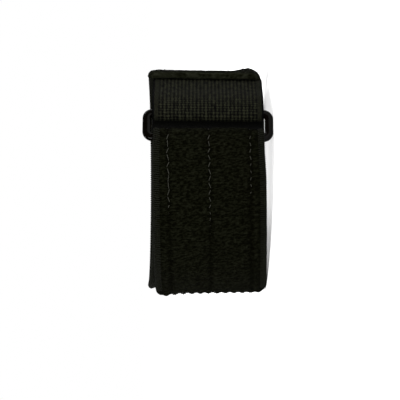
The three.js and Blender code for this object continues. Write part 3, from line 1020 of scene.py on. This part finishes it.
class SUPPORT_OT_ring(Operator):
    """Mould the ring"""

    bl_idname = "support.ring"
    bl_label = "Ring"

    def execute(self, context):
        support = context.scene.elbow_support
        bm = self.mould(support.ring)
        bmesh.ops.transform(bm, matrix=self.place(Loop(support)), verts=bm.verts[:])
        mesh = to_mesh(bm, "moulded_ring")
        mesh.shade_smooth()
        piece = bpy.data.objects.new("moulded_ring", mesh)
        keep(piece, gloss_moulding(support.colours), "ring")
        return {"FINISHED"}

    @staticmethod
    def mould(sizes):
        """The ring, flat and centred: a plate with round corners, its hole, and its rounded edges."""
        long, high = sizes.hole_length + 2 * sizes.bar, sizes.hole_height + 2 * sizes.bar
        sharp = math.radians(60)
        bm = bmesh.new()
        bmesh.ops.create_grid(
            bm, x_segments=1, y_segments=1, size=0.5, matrix=Matrix.Diagonal((long, high, 1, 1)))
        bmesh.ops.bevel(
            bm, geom=bm.verts[:], offset=sizes.corner, offset_type="OFFSET", affect="VERTICES",
            segments=10, profile=0.5, material=-1)
        plate = bm.faces[:]
        bmesh.ops.inset_region(
            bm, faces=plate, thickness=sizes.bar, use_boundary=True, use_even_offset=True)
        bmesh.ops.delete(bm, geom=plate, context="FACES")
        thicken(bm, sizes.thickness)
        bmesh.ops.translate(bm, verts=bm.verts[:], vec=(0, 0, -sizes.thickness / 2))
        bmesh.ops.recalc_face_normals(bm, faces=bm.faces[:])
        bm.normal_update()
        rims = [edge for edge in bm.edges if edge.calc_face_angle(0) > sharp]
        bmesh.ops.bevel(
            bm, geom=rims, offset=sizes.rounding, offset_type="OFFSET", affect="EDGES",
            segments=5, profile=0.5, material=-1)
        return bm

    @staticmethod
    def place(loop):
        """Where the ring lies: over the opening's wall, and leaning with its taper."""
        ring, taper = loop.support.ring, loop.support.opening.taper
        _, ahead, _ = loop.at(np.asarray(ring.along))
        centre = loop.at_ring(0, ring.rise)
        lengthways = Vector((*(centre * taper), 1)).normalized()
        outwards = lengthways.cross(Vector((*ahead, 0))).normalized()
        turn = Matrix((lengthways, outwards.cross(lengthways), outwards)).transposed().to_4x4()
        return loop.place @ Matrix.Translation((*centre, 0)) @ turn


class SUPPORT_OT_layers(Operator):
    """Lay the label behind the ring, and the hook sheet between the strap's layers"""

    bl_idname = "support.layers"
    bl_label = "Label and Hook Sheet"

    def execute(self, context):
        support = context.scene.elbow_support
        colours, loop = support.colours, Loop(support)
        label = loop.label()
        piece = bent_strip("satin_label", label, LABEL_CELL, self.laid(loop, label))
        keep(piece, satin_weave(colours), "label")

        sheet, plastic = loop.hook_sheet(), moulded_hooks(colours)
        piece = bent_strip("hook_sheet", sheet, HOOK_CELL, self.laid(loop, sheet))
        keep(piece, plastic, "hook_patch")
        piece = threads("hooks", list(self.hook_paths(loop, sheet)), HOOK_THREAD)
        keep(piece, plastic, "hook_patch")
        return {"FINISHED"}

    @staticmethod
    def laid(loop, strip):
        """The shape of a plain strip, which only follows its route."""
        def shape(reach, across, through):
            lining, cover = strip.faces(reach)
            z = strip.at(reach, "centre") + across * strip.at(reach, "half")
            return loop.to_frame(lining + (cover - lining) * through[:, None], z), np.zeros_like(reach)
        return shape

    @staticmethod
    def hook_paths(loop, strip):
        """Small bent hooks in rows on the sheet's inner face."""
        sizes = loop.support.layers
        side = sizes.hook_half - HOOK_MARGIN
        for place in np.arange(HOOK_MARGIN, strip.length - HOOK_MARGIN, sizes.hook_pitch):
            reach = place + HOOK_BEND[:, 0] * HOOK_LEAN
            lining, cover = strip.faces(reach)
            inwards = (lining - cover) / sizes.hook_thickness
            flat = lining + inwards * (HOOK_BEND[:, 1] * sizes.hook_height)[:, None]
            for across in np.arange(-side, side, sizes.hook_pitch):
                yield loop.to_frame(flat, strip.at(reach, "centre") + across)


class SUPPORT_OT_studio(Operator):
    """Set out the floor, the soft lights and the camera"""

    bl_idname = "support.studio"
    bl_label = "Studio"

    def execute(self, context):
        scene = context.scene
        support = scene.elbow_support
        self.lay_floor(scene, support.colours)
        self.hang_lights(scene)
        self.paint_world(scene)
        self.set_camera(scene, Loop(support))
        scene.view_settings.view_transform = "Standard"
        scene.view_settings.look = "None"
        return {"FINISHED"}

    @staticmethod
    def lay_floor(scene, colours):
        bm = bmesh.new()
        bmesh.ops.create_grid(bm, x_segments=1, y_segments=1, size=FLOOR_HALF)
        floor = bpy.data.objects.new("studio_floor", to_mesh(bm, "studio_floor"))
        floor.data.materials.append(studio_white(colours))
        scene.collection.objects.link(floor)
        floor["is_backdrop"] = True

    @staticmethod
    def hang_lights(scene):
        """A large soft key beyond the crest, one in front, one overhead and a small one high at the back."""
        for box in SOFTBOXES:
            light = bpy.data.lights.new(box.name, "AREA")
            light.size = box.size
            light.energy = box.power
            lamp = bpy.data.objects.new(box.name, light)
            lamp.location = box.place
            lamp.rotation_euler = (LIT - Vector(box.place)).to_track_quat("-Z", "Y").to_euler()
            scene.collection.objects.link(lamp)

    @staticmethod
    def paint_world(scene):
        """White round the object for the eye, and a dimmer room for its reflections."""
        world = bpy.data.worlds.new("studio_room")
        world.use_nodes = True
        tree = world.node_tree
        tree.nodes.clear()
        mirrored = add_node(tree, "ShaderNodeLightPath").outputs["Is Glossy Ray"]
        strength = add_node(tree, "ShaderNodeMapRange", {
            "Value": mirrored, "To Min": ROOM_SEEN, "To Max": ROOM_MIRRORED})
        room = add_node(tree, "ShaderNodeBackground", {
            "Color": (1, 1, 1, 1), "Strength": strength.outputs["Result"]})
        add_node(tree, "ShaderNodeOutputWorld", {"Surface": room.outputs["Background"]})
        scene.world = world

    @staticmethod
    def set_camera(scene, loop):
        """The camera looks square on to the front, with the crest at the top of the picture."""
        lens = bpy.data.cameras.new("camera")
        lens.sensor_fit = "AUTO"
        lens.angle = 2 * math.atan(PICTURE_WIDTH / 2 / CAMERA_DISTANCE)
        camera = bpy.data.objects.new("camera", lens)
        right, up, back = Vector((0, 0, -1)), Vector((1, 0, 0)), Vector((0, -1, 0))
        turn = Matrix((right, up, back)).transposed().to_4x4()
        camera.matrix_world = loop.place @ Matrix.Translation(CAMERA_AIM + back * CAMERA_DISTANCE) @ turn
        scene.collection.objects.link(camera)
        scene.camera = camera


class SUPPORT_PT_tools(Panel):
    """Lists the steps that make the support"""

    bl_idname = "SUPPORT_PT_tools"
    bl_label = "Tennis Elbow Support"
    bl_space_type = "VIEW_3D"
    bl_region_type = "UI"
    bl_category = "Support"

    def draw(self, context):
        for operator in OPERATORS:
            self.layout.operator(operator.bl_idname)


OPERATORS = (
    SUPPORT_OT_studio,
    SUPPORT_OT_padded_strap,
    SUPPORT_OT_sewing,
    SUPPORT_OT_webbing,
    SUPPORT_OT_ring,
    SUPPORT_OT_layers,
)
GROUPS = (
    OpeningSizes,
    StrapSizes,
    SewingSizes,
    RingSizes,
    WebbingSizes,
    LayerSizes,
    SupportColours,
    SupportSettings,
)
CLASSES = (*GROUPS, *OPERATORS, SUPPORT_PT_tools)


def register():
    for cls in CLASSES:
        bpy.utils.register_class(cls)
    bpy.types.Scene.elbow_support = PointerProperty(type=SupportSettings)


def unregister():
    del bpy.types.Scene.elbow_support
    for cls in reversed(CLASSES):
        bpy.utils.unregister_class(cls)


def main():
    register()
    bpy.ops.support.studio()
    bpy.ops.support.padded_strap()
    bpy.ops.support.sewing()
    bpy.ops.support.webbing()
    bpy.ops.support.ring()
    bpy.ops.support.layers()
    bpy.context.view_layer.update()
    boxes = {"cad": CAD_BOX, "visual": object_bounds()}
    {name: [list(corner) for corner in box] for name, box in boxes.items()}


if __name__ == "__main__":
    main()
